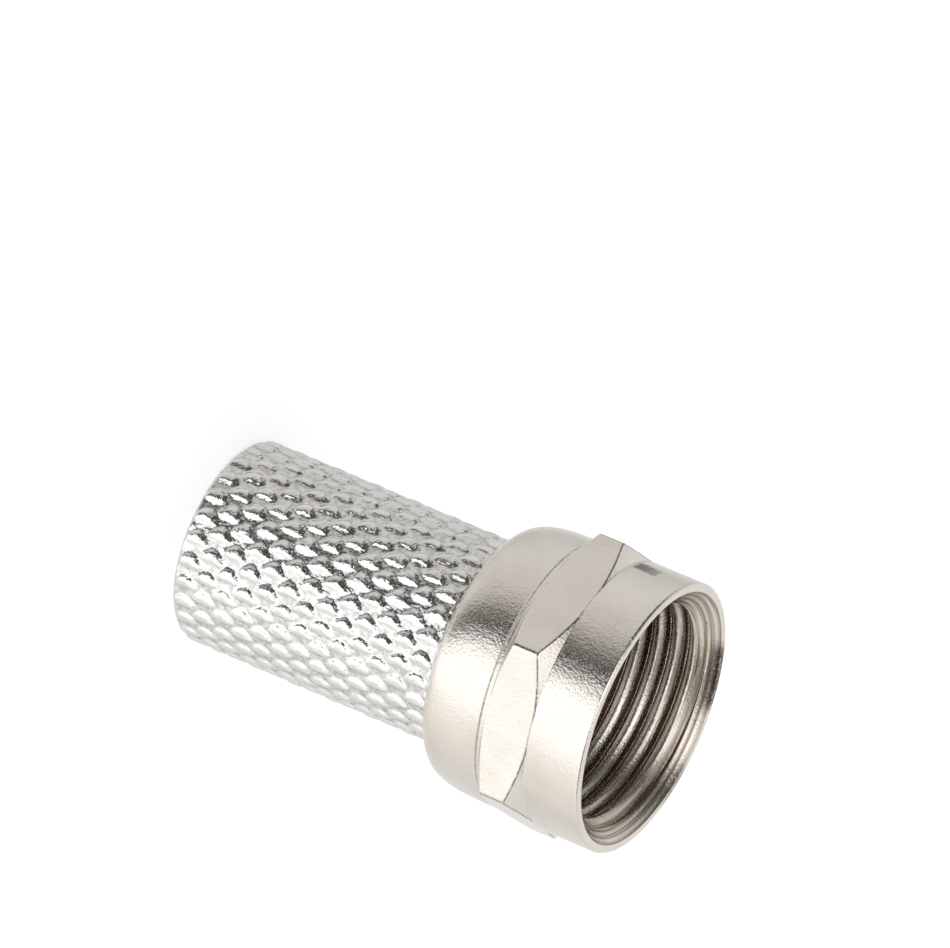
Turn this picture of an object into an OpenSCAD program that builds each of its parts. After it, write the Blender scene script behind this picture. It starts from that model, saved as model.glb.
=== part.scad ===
// Screw-on coaxial plug for a cable that is twisted in: a hexagonal coupling nut
// turns freely on the neck of a diamond-knurled cable sleeve.
// The axis is Z. The sleeve's cable end stands on z = 0 and the mating mouth faces up.
// Both threads are fine and are plain bores here, at the diameter inside their crests.
// Sizes are in millimetres.

/* [Coupling nut] */
// Width across the flats of the hexagon
across_flats = 10.82; // [10.7:0.02:10.86]
// Diameter of the round collar in front of the hexagon
collar_d = 10.94; // [10.9:0.02:11.2]
// Length of the whole nut
nut_len = 7.2; // [7:0.1:9]
// Length of the collar, from the hexagon to the mouth
collar_len = 2.35; // [1.5:0.05:2.6]
// Length of the hexagon with both of its chamfers
hex_len = 1.95; // [1.6:0.05:2.2]
// Angle of the hexagon's chamfers from the plane across the axis
hex_chamfer_angle = 30; // [20:1:40]
// Diameter of the nut's flat rear face
rear_face_d = 8.9; // [8:0.1:9.4]
// Fullness of the rounded shoulder: 2 is an ellipse, more is squarer
shoulder_fullness = 3.2; // [2:0.1:4]
// Thickness of the inner floor that rides on the sleeve's neck
floor_t = 1.6; // [1.2:0.1:2]

/* [Mating mouth] */
// Diameter inside the crests of the mating thread
mating_bore_d = 8.72; // [8.66:0.02:8.86]
// Diameter of the relief behind the mating thread
relief_d = 9.7; // [9.6:0.05:9.9]
// Length of the relief behind the mating thread
relief_len = 0.9; // [0.6:0.1:1.2]
// Width of the flat ring round the mouth
rim_w = 0.22; // [0.15:0.01:0.4]
// Radius of the mouth's outer edge
rim_round = 0.12; // [0.05:0.01:0.2]

/* [Cable sleeve] */
// Diameter over the points of the knurl
sleeve_d = 8.3; // [8.1:0.05:8.6]
// Length of the knurled barrel
barrel_len = 11.5; // [10.8:0.05:14]
// Diameter inside the crests of the cable thread
cable_bore_d = 6.7; // [6.4:0.05:6.8]
// Depth of the cable cavity
cavity_depth = 10; // [8:0.1:10]
// Diameter of the hole for the cable's inner insulation
core_bore_d = 4.9; // [4.6:0.05:5.1]
// Diameter of the neck that carries the nut
neck_d = 6.3; // [6:0.05:6.4]
// Clearance round the neck, on the radius
neck_clearance = 0.08; // [0.04:0.01:0.1]
// Diameter of the flared lip that keeps the nut on
lip_d = 7.6; // [7.3:0.05:7.8]
// Thickness of the flared lip
lip_t = 0.4; // [0.3:0.05:0.5]
// Gap between the barrel and the nut
nut_gap = 0.25; // [0.15:0.05:0.3]
// Gap between the nut's floor and the lip
lip_gap = 0.08; // [0.05:0.01:0.15]

/* [Knurl] */
// Number of grooves around the barrel, in each direction
knurl_starts = 28; // [22:1:34]
// Length of one diamond along the axis
knurl_pitch = 1.73; // [1.4:0.01:2.2]
// Depth of the grooves
knurl_depth = 0.18; // [0.1:0.01:0.2]
// Shift of the diamonds along the axis
knurl_shift = 0.4; // [0:0.05:0.7]
// Turn of the diamonds about the axis, in degrees
knurl_turn = 4.7; // [0:0.1:6.4]
// Chamfer at both ends of the barrel
barrel_chamfer = 0.22; // [0.1:0.01:0.25]

/* [Hidden] */
$fn = 96;
SHOULDER_STEPS = 14;
ROUND_STEPS = 5;
OVERLAP = 0.5;

nut_rear_z = barrel_len + nut_gap;
nut_front_z = nut_rear_z + nut_len;
floor_z = nut_rear_z + floor_t;
hex_front_z = nut_front_z - collar_len;
hex_rear_z = hex_front_z - hex_len;
shoulder_len = hex_rear_z - nut_rear_z;
collar_r = collar_d / 2;
shoulder_r = across_flats / 2 - 0.01;
rear_face_r = rear_face_d / 2;
hex_corner_r = across_flats / 2 / cos(30);
waist_r = (across_flats - OVERLAP) / 2;
mouth_r = collar_r - rim_round - rim_w;

sleeve_r = sleeve_d / 2;
neck_r = neck_d / 2;
lip_z = floor_z + lip_gap;
lip_top_z = lip_z + lip_t;
rim_outer_r = sleeve_r - barrel_chamfer;
entry_r = rim_outer_r - 0.2;
core_flare = 0.3;

// Round shoulder behind the hexagon: a quarter of a superellipse from the rear face to the flats.
function shoulder_points() = [
    for (i = [0 : SHOULDER_STEPS])
        let (a = 90 * i / SHOULDER_STEPS, p = 2 / shoulder_fullness)
            [rear_face_r + (shoulder_r - rear_face_r) * pow(sin(a), p),
             hex_rear_z - shoulder_len * pow(cos(a), p)]
];

// Quarter round at the mouth's outer edge, from the collar's side to the face.
function rim_points() = [
    for (i = [0 : ROUND_STEPS])
        let (a = 90 * i / ROUND_STEPS)
            [collar_r - rim_round * (1 - cos(a)),
             nut_front_z - rim_round * (1 - sin(a))]
];

// Hexagon whose corners are cut back by a cone at each end. Its flats lie just inside the collar's radius.
module hexagon() {
    rear_rise = (hex_corner_r - shoulder_r + OVERLAP) * tan(hex_chamfer_angle);
    front_rise = (hex_corner_r - collar_r + OVERLAP) * tan(hex_chamfer_angle);
    intersection() {
        translate([0, 0, hex_rear_z])
            cylinder(h = hex_len, r = hex_corner_r, $fn = 6);
        rotate_extrude()
            polygon([
                [0, hex_rear_z],
                [shoulder_r, hex_rear_z],
                [hex_corner_r + OVERLAP, hex_rear_z + rear_rise],
                [hex_corner_r + OVERLAP, hex_front_z - front_rise],
                [collar_r, hex_front_z],
                [0, hex_front_z]
            ]);
    }
}

// Round body of the nut: rear face, shoulder, a waist inside the hexagon, and the collar up to the mouth.
module nut_round_body() {
    rotate_extrude()
        polygon(concat(
            [[0, nut_rear_z]],
            shoulder_points(),
            [[waist_r, hex_rear_z], [waist_r, hex_front_z], [collar_r, hex_front_z]],
            rim_points(),
            [[0, nut_front_z]]
        ));
}

// Everything that is bored out of the nut, from the rear hole to the mouth's lead-in.
module nut_bores() {
    hole_r = neck_r + neck_clearance;
    bore_r = mating_bore_d / 2;
    translate([0, 0, nut_rear_z - OVERLAP])
        cylinder(h = floor_t + 2 * OVERLAP, r = hole_r);
    translate([0, 0, floor_z])
        cylinder(h = relief_len, r = relief_d / 2);
    translate([0, 0, floor_z])
        cylinder(h = nut_front_z - floor_z + OVERLAP, r = bore_r);
    translate([0, 0, nut_front_z - (mouth_r - bore_r)])
        cylinder(h = mouth_r - bore_r + OVERLAP, r1 = bore_r, r2 = mouth_r + OVERLAP);
}

// Outside of the barrel: a mesh whose points are by turns a diamond's tip and a crossing of two grooves.
module knurled_bar() {
    around = 2 * knurl_starts;
    row_h = knurl_pitch / 2;
    rows = ceil(barrel_len / row_h) + 1;
    first_z = (barrel_len - rows * row_h) / 2;
    foot = around * (rows + 1);
    tip = function (i, k) (i + k) % 2 == 0;
    at = function (i, k) k * around + i % around;
    points = [
        for (k = [0 : rows], i = [0 : around - 1])
            let (a = 360 * i / around, r = sleeve_r - (tip(i, k) ? 0 : knurl_depth))
                [r * cos(a), r * sin(a), first_z + k * row_h]
    ];
    ends = [[0, 0, first_z], [0, 0, first_z + rows * row_h]];
    sides = [
        for (k = [0 : rows - 1], i = [0 : around - 1], half = [0, 1])
            tip(i, k)
                ? (half == 0 ? [at(i, k), at(i, k + 1), at(i + 1, k)]
                             : [at(i + 1, k), at(i, k + 1), at(i + 1, k + 1)])
                : (half == 0 ? [at(i, k), at(i + 1, k + 1), at(i + 1, k)]
                             : [at(i, k), at(i, k + 1), at(i + 1, k + 1)])
    ];
    caps = [
        for (i = [0 : around - 1], top = [0, 1])
            top == 0 ? [foot, at(i, 0), at(i + 1, 0)]
                     : [foot + 1, at(i + 1, rows), at(i, rows)]
    ];
    polyhedron(points = concat(points, ends), faces = concat(sides, caps), convexity = 4);
}

// Barrel: the knurled bar cut to length, with a chamfer at both ends.
module barrel() {
    clear = knurl_depth;
    intersection() {
        translate([0, 0, knurl_shift])
            rotate(knurl_turn)
                knurled_bar();
        rotate_extrude()
            polygon([
                [0, 0],
                [rim_outer_r, 0],
                [sleeve_r + clear, barrel_chamfer + clear],
                [sleeve_r + clear, barrel_len - barrel_chamfer - clear],
                [rim_outer_r, barrel_len],
                [0, barrel_len]
            ]);
    }
}

// Neck with the lip that is rolled outwards over the nut's floor.
module neck() {
    rotate_extrude()
        polygon([
            [0, barrel_len - OVERLAP],
            [neck_r, barrel_len - OVERLAP],
            [neck_r, lip_z],
            [lip_d / 2, lip_z],
            [lip_d / 2, lip_z + lip_t / 2],
            [lip_d / 2 - lip_t / 2, lip_top_z],
            [0, lip_top_z]
        ]);
}

// Cable cavity with its lead-in, and the hole that the cable's core passes through.
module sleeve_bores() {
    bore_r = cable_bore_d / 2;
    core_r = core_bore_d / 2;
    translate([0, 0, -OVERLAP])
        cylinder(h = cavity_depth + OVERLAP, r = bore_r);
    translate([0, 0, -OVERLAP])
        cylinder(h = entry_r - bore_r + OVERLAP, r1 = entry_r + OVERLAP, r2 = bore_r);
    translate([0, 0, cavity_depth - OVERLAP])
        cylinder(h = lip_top_z - cavity_depth + 2 * OVERLAP, r = core_r);
    translate([0, 0, lip_top_z - core_flare])
        cylinder(h = core_flare + OVERLAP, r1 = core_r, r2 = core_r + core_flare + OVERLAP);
}

module cable_sleeve() {
    color([0.80, 0.79, 0.76])
        difference() {
            union() {
                barrel();
                neck();
            }
            sleeve_bores();
        }
}

module coupling_nut() {
    color([0.86, 0.84, 0.80])
        difference() {
            union() {
                nut_round_body();
                hexagon();
            }
            nut_bores();
        }
}

cable_sleeve();
coupling_nut();
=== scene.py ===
"""Looks of a screw-on coaxial plug: a diamond-knurled cable sleeve and the hexagonal
coupling nut that turns on its neck, both nickel plated, standing on the cable end.

Both pieces are turned parts, so each is one closed profile carried round the Z axis:
a row of the grid is one point of the profile, a column is one angle. The knurl, the
hexagon and the two threads are reliefs of that profile.
Lengths are in millimetres until a mesh is made.
"""
import math

import bpy
import numpy as np
from mathutils import Matrix, Vector


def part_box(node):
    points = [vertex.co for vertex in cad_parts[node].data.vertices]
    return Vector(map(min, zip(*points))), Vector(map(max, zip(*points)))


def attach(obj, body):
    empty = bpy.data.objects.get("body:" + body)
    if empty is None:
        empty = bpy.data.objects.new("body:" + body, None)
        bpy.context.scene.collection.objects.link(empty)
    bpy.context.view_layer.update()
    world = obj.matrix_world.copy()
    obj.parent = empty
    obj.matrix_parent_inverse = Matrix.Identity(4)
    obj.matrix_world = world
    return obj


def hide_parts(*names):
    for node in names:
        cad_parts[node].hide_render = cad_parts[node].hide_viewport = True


MM = 0.001
TURN = 2 * math.pi

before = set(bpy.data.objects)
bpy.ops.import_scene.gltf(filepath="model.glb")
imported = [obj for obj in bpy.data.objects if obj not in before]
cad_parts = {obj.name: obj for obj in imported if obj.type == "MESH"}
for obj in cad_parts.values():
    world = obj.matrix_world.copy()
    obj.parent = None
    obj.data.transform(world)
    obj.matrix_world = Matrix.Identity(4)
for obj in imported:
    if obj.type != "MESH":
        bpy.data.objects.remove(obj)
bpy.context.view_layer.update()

# ---------------------------------------------------------------- sizes
sleeve_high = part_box("cable_sleeve")[1]
nut_low, nut_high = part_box("coupling_nut")
SLEEVE_R = sleeve_high[0] / MM
LIP_TOP = sleeve_high[2] / MM
NUT_REAR = nut_low[2] / MM
NUT_FRONT = nut_high[2] / MM
COLLAR_R = nut_high[1] / MM
FLAT_R = nut_high[0] / MM * math.cos(math.radians(30))

# sleeve
NUT_GAP = 0.25
BARREL_LEN = NUT_REAR - NUT_GAP
BARREL_CHAMFER = 0.22
RIM_OUTER_R = SLEEVE_R - BARREL_CHAMFER
ENTRY_R = RIM_OUTER_R - 0.2
# Each diamond of the knurl is a dome: half its length and width, its height, how far its
# foot bends, and how much the valley slopes beyond it.
KNURL_STARTS = 28
KNURL_PITCH = 1.73
KNURL_TURN = math.radians(4.7)
KNURL_SHIFT = 0.4
KNURL_HALF_X = 0.48
KNURL_HALF_Y = 0.28
KNURL_DEPTH = 0.13
KNURL_BEND = 0.7
KNURL_VALLEY = 0.1
CABLE_CREST_R = 3.35
CABLE_ROOT_R = 3.6
CABLE_PITCH = 0.6
CAVITY_DEPTH = 10.0
CORE_R = 2.45
CORE_FLARE = 0.3
NECK_R = 3.15
LIP_R = 3.8
LIP_T = 0.4
LIP_Z = LIP_TOP - LIP_T

# both threads: the larger, the narrower is the crest and the wider the root
THREAD_FULLNESS = 1.44

# nut
COLLAR_LEN = 2.35
HEX_LEN = 1.95
HEX_FRONT = NUT_FRONT - COLLAR_LEN
HEX_REAR = HEX_FRONT - HEX_LEN
HEX_SLOPE = math.tan(math.radians(30))
HEX_EDGE_ROUND = 0.12
HEX_CORNER_ROUND = 0.25
REAR_FACE_R = 4.45
SHOULDER_FULLNESS = 3.2
NECK_CLEARANCE = 0.08
NUT_HOLE_R = NECK_R + NECK_CLEARANCE
NUT_FLOOR = NUT_REAR + 1.6
RELIEF_R = 4.85
RELIEF_LEN = 0.9
MOUTH_ROUND = 0.12
RIM_W = 0.22
MOUTH_R = COLLAR_R - MOUTH_ROUND - RIM_W
PORT_CREST_R = 4.36
PORT_ROOT_R = 4.7625
PORT_PITCH = 25.4 / 32
PORT_THREAD_Z = 0.18
TURNING_PITCH = 0.2
TURNING_DEPTH = 0.01
# Painted shade: the width of the dark line where the flats meet the front chamfer, and the width and
# strength of the dark line along the hexagon's corners.
CREASE_SHADE_W = 0.034
RIDGE_W = 0.03
RIDGE_SHADE = 0.7
# places of wear on the rim: where, how far to each side, how strong
RIM_WORN = [(math.radians(-146), math.radians(19), 1.0), (math.radians(163), math.radians(12), 0.55)]
RIM_WORN_DEPTH = 0.3
RIM_WORN_FADE = 0.12
# A painted dark reflection on the collar: its angle, and the heights of its low and high ends.
REFLECTION_PATCH_ANGLE = math.radians(-64)
REFLECTION_PATCH_LOW = 16.65
REFLECTION_PATCH_HIGH = 17.8

# plating: the height that one unit of unevenness stands for
BUMP_UNIT = 0.01


# ---------------------------------------------------------------- profiles
def row_of(r, z, angles):
    """One grid row: the same radius and height at every angle."""
    return np.stack([np.full(len(angles), r), np.full(len(angles), z)], -1)[None]


def rounded_path(corners, rounds, arc_steps=4, hug=0.05):
    """A path through corner points whose corners are rounded.

    corners is (corner, angle, 2) with radius and height, rounds one length per corner.
    Each inner corner becomes the quadratic curve from the point one rounding before it
    to the point one rounding after it, never more than 0.45 of a leg away. A row that
    hugs each end of each curve keeps the faces between the curves flat.
    """
    legs = np.diff(corners, axis=0)
    length = np.linalg.norm(legs, axis=-1, keepdims=True)
    way = legs / np.maximum(length, 1e-9)
    rows = [corners[0]]
    for k in range(1, len(corners) - 1):
        corner = corners[k]
        before = np.minimum(rounds[k], 0.45 * length[k - 1])
        after = np.minimum(rounds[k], 0.45 * length[k])
        start = corner - way[k - 1] * before
        end = corner + way[k] * after
        room_before = length[k - 1] * 0.5 - before
        room_after = length[k] * 0.5 - after
        rows.append(start - way[k - 1] * np.minimum(hug, 0.5 * room_before))
        for s in np.linspace(0, 1, arc_steps + 1):
            rows.append((1 - s) ** 2 * start + 2 * s * (1 - s) * corner + s ** 2 * end)
        rows.append(end + way[k] * np.minimum(hug, 0.5 * room_after))
    rows.append(corners[-1])
    return np.stack(rows)


def plain_corners(points, angles):
    """Corner points that are the same at every angle, as (corner, angle, 2)."""
    return np.repeat(np.array(points, float)[:, None, :], len(angles), axis=1)


def thread_depth(z, angle, pitch):
    """How deep a right-handed thread is, from 0 on its crest to 1 on its root.

    The place along one turn is z / pitch - angle / a full turn, and t is twice its distance
    from the nearest crest. The depth is 1 - (1 - t squared) to the power of the fullness.
    """
    turn = z / pitch - angle / TURN
    t = 2 * np.abs(turn - np.round(turn))
    return 1 - (1 - t * t) ** THREAD_FULLNESS


# ---------------------------------------------------------------- mesh
def turned_piece(name, profile, angles, middle_r, marks):
    """A closed mesh from a closed profile carried round the axis.

    profile is (row, angle, 2) with radius and height, and its last row joins its first.
    A point is (r cos a, r sin a, z). Each square is split along the diagonal whose
    middle lies nearer to middle_r, the true radius at the square's middle (where that
    is not a number, along the first diagonal). marks are attributes by point.
    """
    rows, cols = profile.shape[:2]
    r, z = profile[..., 0], profile[..., 1]
    points = np.stack([r * np.cos(angles), r * np.sin(angles), z], -1) * MM
    index = np.arange(rows * cols).reshape(rows, cols)
    right = np.roll(index, -1, axis=1)
    above = np.roll(index, -1, axis=0)
    beyond = np.roll(above, -1, axis=1)
    flat_r = r.ravel()
    first = np.abs((flat_r[index] + flat_r[beyond]) / 2 - middle_r)
    second = np.abs((flat_r[right] + flat_r[above]) / 2 - middle_r)
    use_second = (second < first)[..., None]
    one = np.where(use_second, np.stack([index, right, above], -1), np.stack([index, right, beyond], -1))
    two = np.where(use_second, np.stack([right, beyond, above], -1), np.stack([index, beyond, above], -1))
    triangles = np.concatenate([one.reshape(-1, 3), two.reshape(-1, 3)])
    mesh = bpy.data.meshes.new(name)
    mesh.vertices.add(rows * cols)
    mesh.vertices.foreach_set("co", points.ravel())
    mesh.loops.add(triangles.size)
    mesh.loops.foreach_set("vertex_index", triangles.ravel())
    mesh.polygons.add(len(triangles))
    mesh.polygons.foreach_set("loop_start", np.arange(0, triangles.size, 3))
    mesh.polygons.foreach_set("use_smooth", np.ones(len(triangles), bool))
    mesh.update(calc_edges=True)
    for mark, values in marks.items():
        attribute = mesh.attributes.new(mark, "FLOAT", "POINT")
        attribute.data.foreach_set("value", values.ravel().astype(np.float32))
    mesh.validate()
    piece = bpy.data.objects.new(name, mesh)
    bpy.context.scene.collection.objects.link(piece)
    return piece


def middles(function, rows_z, angles):
    """The true radius at the middle of each square between the given rows."""
    z = (rows_z[:-1] + rows_z[1:]) / 2
    step = (np.roll(angles, -1) - angles) % TURN
    return function(z[:, None], (angles + step / 2)[None, :])


class Loop:
    """Collects the rows of a closed profile, with the middle radii and the marks."""

    def __init__(self, angles):
        self.angles = angles
        self.rows, self.middles, self.recess, self.inside, self.edge = [], [], [], [], []

    def add(self, rows, recess=0.0, inside=0.0, edge=0.0, middle=None):
        """Adds rows; middle holds the true radii between them, one row fewer."""
        count = len(rows)
        blank = np.full((count, len(self.angles)), np.nan)
        if middle is not None:
            blank[:-1] = middle
        self.rows.append(rows)
        self.middles.append(blank)
        self.recess.append(np.broadcast_to(recess, (count, len(self.angles))))
        self.inside.append(np.broadcast_to(inside, (count, len(self.angles))))
        self.edge.append(np.broadcast_to(edge, (count, len(self.angles))))

    def piece(self, name):
        return turned_piece(
            name, np.concatenate(self.rows), self.angles, np.concatenate(self.middles),
            {"recess": np.concatenate(self.recess), "inside": np.concatenate(self.inside),
             "edge": np.concatenate(self.edge)})


def relief_rows(function, rows_z, angles):
    """Rows of a surface r = function(z, angle) at the given heights."""
    z = np.broadcast_to(rows_z[:, None], (len(rows_z), len(angles)))
    return np.stack([function(z, angles[None, :]), z], -1)


# ---------------------------------------------------------------- cable sleeve
KNURL_ROW = KNURL_PITCH / 2
KNURL_ROWS = math.ceil(BARREL_LEN / KNURL_ROW) + 1
KNURL_START_Z = (BARREL_LEN - KNURL_ROWS * KNURL_ROW) / 2 + KNURL_SHIFT


def knurl_away(z, angle):
    """How far out on its diamond a place is: 0 at the middle, 1 at the foot of the dome.

    Two families of grooves run round the barrel as opposite screws, so a diamond's middle
    is where starts * turns + z / pitch and starts * turns - z / pitch are both whole. x and
    y are the distances from that middle along and round the barrel, and y is bent by x
    squared. The result is the length of (x / half length, y / half width).
    """
    around = KNURL_STARTS * (angle - KNURL_TURN) / TURN
    along = (z - KNURL_START_Z) / KNURL_PITCH
    one, two = around + along, around - along
    one, two = one - np.round(one), two - np.round(two)
    x = (one - two) / 2 * KNURL_PITCH
    y = (one + two) / 2 * TURN * SLEEVE_R / KNURL_STARTS
    return np.hypot(x / KNURL_HALF_X, (y - KNURL_BEND * x * x) / KNURL_HALF_Y)


def barrel_r(z, angle):
    """The knurled radius, cut by the cones of the end chamfers.

    Each diamond is a dome, the root of 1 - away squared, and beyond its foot the surface
    slopes on down into the valley.
    """
    away = knurl_away(z, angle)
    dome = np.sqrt(1 - np.minimum(away, 1) ** 2)
    knurl = SLEEVE_R - KNURL_DEPTH * (1 - dome + KNURL_VALLEY * np.maximum(away - 1, 0))
    ends = RIM_OUTER_R + np.minimum(z, BARREL_LEN - z)
    return np.minimum(knurl, ends)


def cable_bore_r(z, angle):
    """The cable thread's radius, opened by the cone of the lead-in at the mouth."""
    depth = thread_depth(z, angle, CABLE_PITCH)
    thread = CABLE_CREST_R + (CABLE_ROOT_R - CABLE_CREST_R) * depth
    return np.maximum(thread, ENTRY_R - z)


def make_sleeve():
    """The sleeve from the cable end up the knurl, over neck and lip, and back through the bores.

    A column lies every twelfth of a diamond and a row every sixteenth, so that the mesh
    follows the lattice.
    """
    angles = KNURL_TURN + np.arange(12 * KNURL_STARTS) * TURN / (12 * KNURL_STARTS)
    loop = Loop(angles)
    lattice = KNURL_START_Z + KNURL_PITCH / 16 * np.arange(-8, 8 * KNURL_ROWS)
    ends = np.array([0.0, 0.05, 0.1, 0.16, 0.22, 0.28])
    inner = lattice[(lattice > 0.33) & (lattice < BARREL_LEN - 0.33)]
    rows_z = np.concatenate([ends, inner, BARREL_LEN - ends[::-1]])
    # recess rises into the knurl's valleys, where the material paints shade, partly grime, broken up by
    # noise.
    away = knurl_away(rows_z[:, None], angles[None, :])
    loop.add(relief_rows(barrel_r, rows_z, angles), recess=np.clip(1.5 * (away - 0.7), 0, 1),
             middle=middles(barrel_r, rows_z, angles))
    inner_path = plain_corners([
        (RIM_OUTER_R - 0.03, BARREL_LEN), (NECK_R, BARREL_LEN), (NECK_R, LIP_Z), (LIP_R, LIP_Z),
        (LIP_R, LIP_Z + LIP_T / 2), (LIP_R - LIP_T / 2, LIP_TOP), (CORE_R + CORE_FLARE, LIP_TOP),
        (CORE_R, LIP_TOP - CORE_FLARE), (CORE_R, CAVITY_DEPTH), (CABLE_ROOT_R, CAVITY_DEPTH)], angles)
    loop.add(rounded_path(inner_path, [0, 0.08, 0.05, 0.08, 0.12, 0.12, 0.1, 0.1, 0.05, 0], 3),
             inside=1.0)
    rows_z = np.arange(CAVITY_DEPTH - 0.06, 0, -CABLE_PITCH / 6)
    rows_z = np.concatenate([rows_z[rows_z > 0.42], [0.38, 0.3, 0.2, 0.1, 0.03, 0.0]])
    # recess is the thread's depth, where the material paints shade into the roots.
    depth = thread_depth(rows_z[:, None], angles[None, :], CABLE_PITCH)
    loop.add(relief_rows(cable_bore_r, rows_z, angles), recess=depth, inside=1.0,
             middle=middles(cable_bore_r, rows_z, angles))
    loop.add(plain_corners([(ENTRY_R + 0.03, 0), (RIM_OUTER_R - 0.03, 0)], angles))
    return loop.piece("knurled_sleeve")


# ---------------------------------------------------------------- coupling nut
def nut_angles():
    """60 angles a side, drawn together at the corners of the hexagon.

    From one flat's middle to the next, s runs from -1 to 1 and the angle away from the
    corner is 30 degrees * (0.2 s + 0.8 s cubed).
    """
    s = np.linspace(-1, 1, 61)[:-1]
    away = 0.2 * s + 0.8 * s ** 3
    return np.concatenate([np.radians(60 * k + 30 * away) for k in range(6)])


def hexagon_r(angle):
    """Radius of a hexagon with rounded corners.

    b is the angle from the middle of the flat. On the flat r = flat / cos b. Near a
    corner r is where the ray meets the corner's own small circle.
    """
    b = np.abs(angle % math.radians(60) - math.radians(30))
    centre = (FLAT_R - HEX_CORNER_ROUND) / math.cos(math.radians(30))
    half_flat = math.atan((FLAT_R - HEX_CORNER_ROUND) * HEX_SLOPE / FLAT_R)
    off = math.radians(30) - b
    side = centre * np.sin(off)
    arc = centre * np.cos(off) + np.sqrt(np.maximum(HEX_CORNER_ROUND ** 2 - side ** 2, 0))
    return np.where(b > half_flat, arc, FLAT_R / np.cos(b))


def shoulder_rows(angles, count=26):
    """The round shoulder, a quarter of a superellipse, at equal steps along its length."""
    a = np.linspace(0, math.pi / 2, 400)
    p = 2 / SHOULDER_FULLNESS
    r = REAR_FACE_R + (FLAT_R - REAR_FACE_R) * np.sin(a) ** p
    z = HEX_REAR - (HEX_REAR - NUT_REAR) * np.cos(a) ** p
    run = np.concatenate([[0], np.cumsum(np.hypot(np.diff(r), np.diff(z)))])
    at = np.linspace(0, run[-1], count)
    return plain_corners(np.stack([np.interp(at, run, r), np.interp(at, run, z)], -1), angles)


def turning_mark(z):
    """The turning marks on the mouth's cone, from 0 on a ridge to 1 in a groove: a sine over the height."""
    return 0.5 + 0.5 * np.sin(TURN * (NUT_FRONT - z) / TURNING_PITCH)


def port_thread_r(z, angle):
    """The port thread's own radius."""
    depth = thread_depth(z - PORT_THREAD_Z, angle, PORT_PITCH)
    return PORT_CREST_R + (PORT_ROOT_R - PORT_CREST_R) * depth


def port_bore_r(z, angle):
    """The port thread's radius, opened by the 45 degree cone with its turning marks at the mouth."""
    below = NUT_FRONT - z
    groove = TURNING_DEPTH * np.minimum(below / 0.1, 1) * (2 * turning_mark(z) - 1)
    return np.maximum(port_thread_r(z, angle), MOUTH_R - below + groove)


def worn_rim(angles):
    """How much wear the rim has: full inside each place of wear, and fading out over its ends."""
    edge_patches = np.zeros(len(angles))
    for place, half, strength in RIM_WORN:
        away = np.abs((angles - place + math.pi) % TURN - math.pi)
        edge_patches += strength * np.clip((half - away) / RIM_WORN_FADE, 0, 1)
    return edge_patches


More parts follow.
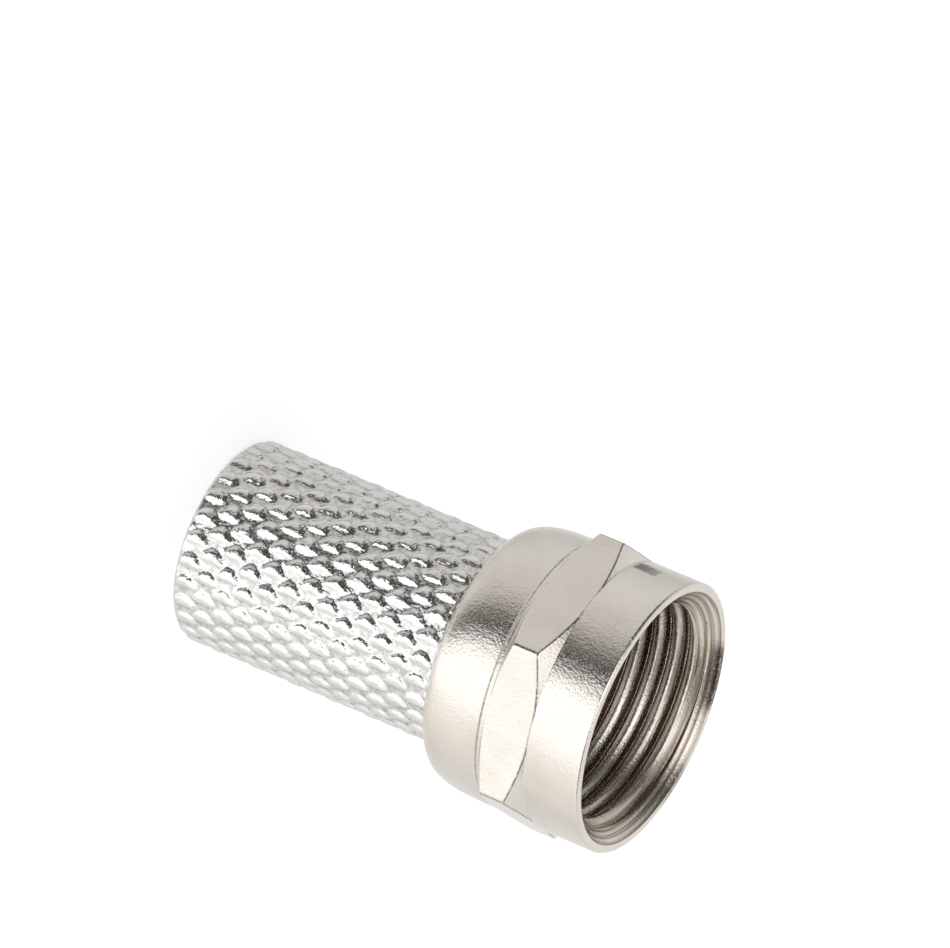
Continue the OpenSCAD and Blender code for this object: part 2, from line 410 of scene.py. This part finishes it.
def make_nut():
    """The nut from its rear face over shoulder, hexagon, collar and rim, and back through the bore.

    Its marks are painted shade in a dark line where the flats meet the front chamfer and along the
    hexagon's corners, wear on the rim, and painted shade in the thread and the turning marks.
    """
    angles = nut_angles()
    loop = Loop(angles)
    loop.add(shoulder_rows(angles)[:-1])
    hexagon = hexagon_r(angles)
    rear_rise = (hexagon - FLAT_R) * HEX_SLOPE
    front_rise = np.maximum(hexagon - COLLAR_R, 0) * HEX_SLOPE
    level = np.ones(len(angles))
    outside = np.stack([
        np.stack([level * FLAT_R, level * (HEX_REAR - 0.2)], -1),
        np.stack([level * FLAT_R, level * HEX_REAR], -1),
        np.stack([hexagon, HEX_REAR + rear_rise], -1),
        np.stack([hexagon, HEX_FRONT - front_rise], -1),
        np.stack([level * COLLAR_R, level * HEX_FRONT], -1),
        np.stack([level * COLLAR_R, level * (NUT_FRONT - MOUTH_ROUND)], -1)])
    rows = rounded_path(outside, [0, HEX_EDGE_ROUND, 0.05, 0.03, 0.03, 0], 3)
    # Painted shade: a dark line where the flats meet the front chamfer, and a weaker dark line along the
    # hexagon's corners.
    crease_shade = np.exp(-np.sum((rows - outside[3]) ** 2, -1) / CREASE_SHADE_W ** 2)
    corner_away = np.abs((angles + math.radians(30)) % math.radians(60) - math.radians(30)) * FLAT_R
    ridge = np.exp(-(corner_away / RIDGE_W) ** 2) * (np.abs(rows[..., 0] - hexagon) < 0.02)
    loop.add(rows, edge=np.maximum(crease_shade, RIDGE_SHADE * ridge))
    edge_patches = worn_rim(angles)
    for a in np.radians([18, 36, 54, 72, 90]):
        loop.add(row_of(COLLAR_R - MOUTH_ROUND * (1 - math.cos(a)),
                        NUT_FRONT - MOUTH_ROUND * (1 - math.sin(a)), angles), edge=edge_patches)
    loop.add(plain_corners([(COLLAR_R - MOUTH_ROUND - 0.03, NUT_FRONT), (MOUTH_R + 0.04, NUT_FRONT),
                            (MOUTH_R + 0.012, NUT_FRONT - 0.004)], angles), edge=edge_patches)
    relief_top = NUT_FLOOR + RELIEF_LEN
    rows_z = np.concatenate([[NUT_FRONT - 0.02, NUT_FRONT - 0.05],
                             np.arange(NUT_FRONT - 0.09, relief_top + 0.02, -PORT_PITCH / 20)])
    height, angle = rows_z[:, None], angles[None, :]
    below = NUT_FRONT - height
    worn_cone = edge_patches * np.clip(1.2 - below / RIM_WORN_DEPTH, 0, 1)
    # The recess mark paints shade into the bore: in the thread's roots, and on the mouth's cone in the
    # grooves of the turning marks.
    in_thread = thread_depth(height - PORT_THREAD_Z, angle, PORT_PITCH)
    shade = np.where(MOUTH_R - below > port_thread_r(height, angle), turning_mark(height), in_thread)
    loop.add(relief_rows(port_bore_r, rows_z, angles), recess=shade, inside=1.0, edge=worn_cone,
             middle=middles(port_bore_r, rows_z, angles))
    inner_path = plain_corners([
        (PORT_ROOT_R, relief_top), (RELIEF_R, relief_top - 0.05), (RELIEF_R, NUT_FLOOR),
        (NUT_HOLE_R, NUT_FLOOR), (NUT_HOLE_R, NUT_REAR), (REAR_FACE_R - 0.05, NUT_REAR)], angles)
    loop.add(rounded_path(inner_path, [0, 0.02, 0.1, 0.05, 0.08, 0], 3), inside=1.0)
    return loop.piece("hexagonal_nut")


# ---------------------------------------------------------------- shader maths
class Value:
    """A socket that can be used in a Python expression. Each operator adds a Math node."""

    def __init__(self, tree, socket):
        self.tree, self.socket = tree, socket

    def _math(self, operation, *others):
        return node(self.tree, "ShaderNodeMath", {"operation": operation}, [self, *others])

    def __add__(self, other): return self._math("ADD", other)
    def __radd__(self, other): return self._math("ADD", other)
    def __mul__(self, other): return self._math("MULTIPLY", other)
    def __rmul__(self, other): return self._math("MULTIPLY", other)
    def __sub__(self, other): return self._math("SUBTRACT", other)
    def __rsub__(self, other): return (self * -1)._math("ADD", other)
    def __truediv__(self, other): return self._math("DIVIDE", other)
    def __pow__(self, other): return self._math("POWER", other)
    def __abs__(self): return self._math("ABSOLUTE")


def node(tree, kind, settings=None, inputs=None, output=0):
    """Adds one node: its settings first, then its sockets, and returns an output as a Value."""
    made = tree.nodes.new(kind)
    for key, value in (settings or {}).items():
        if key == "stops":
            ramp = made.color_ramp
            while len(ramp.elements) > 1:
                ramp.elements.remove(ramp.elements[-1])
            for k, (place, colour) in enumerate(value):
                stop = ramp.elements[0] if k == 0 else ramp.elements.new(place)
                stop.position, stop.color = place, (*colour, 1)
        else:
            setattr(made, key, value)
    pairs = enumerate(inputs) if isinstance(inputs, (list, tuple)) else (inputs or {}).items()
    for key, value in pairs:
        if isinstance(value, Value):
            tree.links.new(value.socket, made.inputs[key])
        elif value is not None:
            made.inputs[key].default_value = value
    return Value(tree, made.outputs[output])


def smooth(tree, value, low, high):
    """0 below low, 1 above high, eased in between."""
    return node(tree, "ShaderNodeMapRange", {"interpolation_type": "SMOOTHSTEP"},
                {"Value": value, "From Min": low, "From Max": high})


def mix(tree, factor, one, two):
    """A blend of two colours."""
    return node(tree, "ShaderNodeMix", {"data_type": "RGBA"}, {0: factor, 6: one, 7: two}, 2)


def noise(tree, where, grain_mm, detail=2.0, rough=0.5):
    """Noise whose lumps are about grain_mm across, from 0 to 1."""
    return node(tree, "ShaderNodeTexNoise", None,
                {"Vector": where, "Scale": 1 / (grain_mm * MM), "Detail": detail, "Roughness": rough})


def noise_plain(tree, where):
    """Noise over a vector that is already in the size of its lumps."""
    return node(tree, "ShaderNodeTexNoise", None, {"Vector": where, "Scale": 1.0, "Detail": 3.0})


def split(tree, vector):
    """The three parts of a vector."""
    parts = tree.nodes.new("ShaderNodeSeparateXYZ")
    tree.links.new(vector.socket, parts.inputs[0])
    return [Value(tree, socket) for socket in parts.outputs]


def mark(tree, name):
    """A mark that the mesh carries at its points."""
    return node(tree, "ShaderNodeAttribute", {"attribute_name": name}, None, 2)


def nickel(name, bright, dull, deep, roughness, grain, lumps, painted_reflection=False):
    """Bright nickel plate: cloudiness, a fine grain, dark edges that are partly wear and partly
    painted shade, and painted shade in the recesses.

    bright and dull are the plate's two tones and deep the tone of the painted shade in its
    recesses, in the knurl's valleys partly grime. grain and lumps are the heights of the fine and
    of the coarse unevenness, in hundredths of a millimetre. Inside the bores painted shade runs
    in turned rings, noise over radius and height. The patch on the collar is a painted dark
    reflection, a ragged grey patch between two heights and angles.
    """
    material = bpy.data.materials.new(name)
    material.use_nodes = True
    tree = material.node_tree
    shader = tree.nodes["Principled BSDF"]
    where = node(tree, "ShaderNodeTexCoord", None, None, 3)
    recess, inside, edge = mark(tree, "recess"), mark(tree, "inside"), mark(tree, "edge")
    x, y, z = split(tree, where)
    radius = ((x * x + y * y) ** 0.5) / MM
    height = z / MM
    ring = node(tree, "ShaderNodeCombineXYZ", None, [radius * 9, height * 9, x * 0.35 / MM])
    rings = noise_plain(tree, ring)
    cloud = noise(tree, where, 1.6, 3)
    speck = noise(tree, where, 0.1, 3)
    fine = noise(tree, where, 0.035, 1)
    colour = mix(tree, smooth(tree, cloud, 0.4, 0.75) * 0.7, (*bright, 1), (*dull, 1))
    # Painted shade: outside, the knurl's valleys darken towards deep, broken up by noise and partly grime;
    # inside the bores painted shade runs in turned-ring streaks and deepens in the thread's roots and the
    # turning marks' grooves.
    broken = smooth(tree, noise(tree, where, 0.22, 2), 0.42, 0.62)
    streak = smooth(tree, rings, 0.3, 0.62)
    outer_shade = (1 - inside) * smooth(tree, recess, 0.35, 1.0) * (0.15 + broken * 0.5)
    inner_shade = inside * (streak * 0.3 + smooth(tree, recess, 0.15, 0.7) * (0.45 + streak * 0.25))
    shade = outer_shade + inner_shade
    colour = mix(tree, shade, colour, (*deep, 1))
    # The edge mark darkens towards a dark brown, full in noise patches: on the rim it is wear, along the
    # flats' front crease and the hexagon's corners it is painted shade.
    edge_patches = smooth(tree, noise(tree, where, 0.13, 2), 0.36, 0.5)
    colour = mix(tree, edge * (0.45 + edge_patches * 0.55), colour, (0.10, 0.07, 0.06, 1))
    # A painted dark reflection: a ragged grey patch on the collar, around one angle and between two
    # heights.
    if painted_reflection:
        angle = node(tree, "ShaderNodeMath", {"operation": "ARCTAN2"}, [y, x])
        ragged = noise(tree, where, 0.3, 3) - 0.5
        beside = 1 - smooth(tree, abs(angle - REFLECTION_PATCH_ANGLE + ragged * 0.06), 0.05, 0.09)
        along = smooth(tree, height + ragged * 0.3, REFLECTION_PATCH_LOW, REFLECTION_PATCH_LOW + 0.2)
        along = along * (1 - smooth(tree, height, REFLECTION_PATCH_LOW + 0.25, REFLECTION_PATCH_HIGH + 0.1) * 0.5)
        along = along * (1 - smooth(tree, height + ragged * 0.5, REFLECTION_PATCH_HIGH - 0.2, REFLECTION_PATCH_HIGH))
        colour = mix(tree, beside * along * 0.95, colour, (0.13, 0.127, 0.123, 1))
    tree.links.new(colour.socket, shader.inputs["Base Color"])
    rough = roughness + smooth(tree, speck, 0.45, 0.7) * 0.06 + inside * 0.04
    tree.links.new(rough.socket, shader.inputs["Roughness"])
    shader.inputs["Metallic"].default_value = 1.0
    lump = noise(tree, where, 0.25, 3)
    surface = speck * grain + fine * (grain * 0.4)
    surface = surface + lump * lumps * (1 - inside * 0.85) + rings * inside * 1.6
    bump = node(tree, "ShaderNodeBump", None,
                {"Strength": 1.0, "Distance": BUMP_UNIT * MM, "Height": surface})
    tree.links.new(bump.socket, shader.inputs["Normal"])
    return material


# ---------------------------------------------------------------- pieces
sleeve = make_sleeve()
sleeve.data.materials.append(nickel("sleeve nickel", (0.86, 0.86, 0.86), (0.78, 0.78, 0.77),
                                    (0.48, 0.47, 0.45), 0.11, 0.4, 6.0))
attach(sleeve, "sleeve")
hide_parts("cable_sleeve")

nut = make_nut()
# The nut's material carries the painted dark reflection on the collar.
nut.data.materials.append(nickel("nut nickel", (0.84, 0.80, 0.75), (0.76, 0.72, 0.66),
                                 (0.30, 0.23, 0.17), 0.05, 1.5, 1.2, True))
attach(nut, "nut")
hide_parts("coupling_nut")

# ---------------------------------------------------------------- studio
CAMERA_AZIMUTH = math.radians(6.15)
CAMERA_ELEVATION = math.radians(23.04)
CAMERA_ROLL = math.radians(112.6)
CAMERA_DISTANCE = 343.7
AIM = Vector((1.01, -5.87, 8.57))


def floor_material():
    """A white floor that shades under the piece and is white to the camera elsewhere."""
    material = bpy.data.materials.new("white floor")
    material.use_nodes = True
    tree = material.node_tree
    shader = tree.nodes["Principled BSDF"]
    rays = tree.nodes.new("ShaderNodeLightPath")
    glow = mix(tree, Value(tree, rays.outputs["Is Camera Ray"]), (0, 0, 0, 1), (0.63, 0.63, 0.63, 1))
    tree.links.new(glow.socket, shader.inputs["Emission Color"])
    shader.inputs["Emission Strength"].default_value = 1.0
    shader.inputs["Base Color"].default_value = (0.6, 0.6, 0.6, 1)
    shader.inputs["Roughness"].default_value = 0.9
    shader.inputs["Specular IOR Level"].default_value = 0.1
    return material


def make_floor():
    """A level square under the piece, three metres each way, that mirrors don't see."""
    mesh = bpy.data.meshes.new("studio_floor")
    size = 3.0
    corners = [(-size, -size, 0), (size, -size, 0), (size, size, 0), (-size, size, 0)]
    mesh.from_pydata(corners, [], [(0, 1, 2, 3)])
    floor = bpy.data.objects.new("studio_floor", mesh)
    bpy.context.scene.collection.objects.link(floor)
    mesh.materials.append(floor_material())
    floor.visible_glossy = False


def make_world():
    """A pale tent with a dark strip beside the camera and a bright panel over it.

    The tone depends on the compass angle from the camera, found with the arc tangent of
    the direction's two level parts. The walls' strips lean: the angle grows with the
    distance from the height that an upright side mirrors. Overhead is a ramp of its own,
    and the top is even white. The camera itself sees plain white.
    """
    world = bpy.data.worlds.new("studio")
    bpy.context.scene.world = world
    world.use_nodes = True
    tree = world.node_tree
    tree.nodes.clear()
    x, y, z = split(tree, node(tree, "ShaderNodeTexCoord", None, None, 0))
    c, s = math.cos(CAMERA_AZIMUTH), math.sin(CAMERA_AZIMUTH)
    compass = node(tree, "ShaderNodeMath", {"operation": "ARCTAN2"}, [x * s - y * c, x * c + y * s])
    compass = compass * (360 / TURN)
    height = node(tree, "ShaderNodeMath", {"operation": "ARCSINE"}, [z]) * (360 / TURN)
    arched = compass + abs(height + 23) * 0.4

    def at(degrees):
        return degrees / 360 + 0.5

    walls = node(tree, "ShaderNodeValToRGB", {"stops": [
        (at(-180), (0.85, 0.83, 0.80)), (at(-156), (0.82, 0.82, 0.80)), (at(-124), (0.76, 0.75, 0.73)),
        (at(-92), (0.86, 0.84, 0.80)), (at(-60), (1.05, 1.02, 0.98)), (at(-46), (1.3, 1.3, 1.28)),
        (at(9), (1.4, 1.4, 1.4)), (at(11), (0.03, 0.029, 0.028)), (at(29), (0.08, 0.076, 0.072)),
        (at(50), (0.58, 0.56, 0.53)), (at(72), (0.70, 0.68, 0.65)), (at(100), (0.76, 0.75, 0.73)),
        (at(130), (0.66, 0.65, 0.64)), (at(146), (0.58, 0.57, 0.56)), (at(162), (0.78, 0.77, 0.76)),
        (at(180), (0.85, 0.83, 0.80))]}, [arched / 360 + 0.5])
    low_band = smooth(tree, height, -8, 5) * (1 - smooth(tree, height, 30, 42))
    low_band = low_band * smooth(tree, compass, 5, 15) * (1 - smooth(tree, compass, 90, 130))
    tone = mix(tree, low_band * 0.95, walls, (0.05, 0.045, 0.04, 1))
    roof = node(tree, "ShaderNodeValToRGB", {"stops": [
        (at(-180), (0.85, 0.84, 0.82)), (at(-120), (0.85, 0.84, 0.82)), (at(-95), (0.30, 0.29, 0.28)),
        (at(-32), (0.34, 0.33, 0.32)), (at(-22), (1.4, 1.4, 1.4)), (at(46), (1.4, 1.4, 1.4)),
        (at(51), (0.13, 0.13, 0.125)), (at(98), (0.13, 0.13, 0.125)), (at(122), (0.62, 0.61, 0.60)),
        (at(180), (0.85, 0.84, 0.82))]}, [compass / 360 + 0.5])
    roof = mix(tree, smooth(tree, height, 70, 76), roof, (1.3, 1.3, 1.3, 1))
    tone = mix(tree, smooth(tree, height, 28, 38), tone, roof)
    rays = tree.nodes.new("ShaderNodeLightPath")
    tone = mix(tree, Value(tree, rays.outputs["Is Camera Ray"]), tone, (1.0, 1.0, 1.0, 1))
    light = node(tree, "ShaderNodeBackground", None, {"Color": tone, "Strength": 1.0})
    tree.links.new(light.socket, tree.nodes.new("ShaderNodeOutputWorld").inputs["Surface"])


def make_camera():
    """The camera looks at AIM from its compass angle and height, rolled about its view."""
    back = Vector((math.cos(CAMERA_ELEVATION) * math.cos(CAMERA_AZIMUTH),
                   math.cos(CAMERA_ELEVATION) * math.sin(CAMERA_AZIMUTH), math.sin(CAMERA_ELEVATION)))
    level_right = Vector((0, 0, 1)).cross(back).normalized()
    turned = Matrix.Rotation(CAMERA_ROLL, 3, back) @ Matrix(
        (level_right, back.cross(level_right), back)).transposed()
    camera = bpy.data.objects.new("camera", bpy.data.cameras.new("camera"))
    camera.data.sensor_width = 36
    camera.data.lens = 342.5
    camera.data.clip_end = 50
    camera.matrix_world = Matrix.Translation((AIM + back * CAMERA_DISTANCE) * MM) @ turned.to_4x4()
    bpy.context.scene.collection.objects.link(camera)
    bpy.context.scene.camera = camera


make_floor()
make_world()
make_camera()
bpy.context.scene.view_settings.view_transform = "Standard"
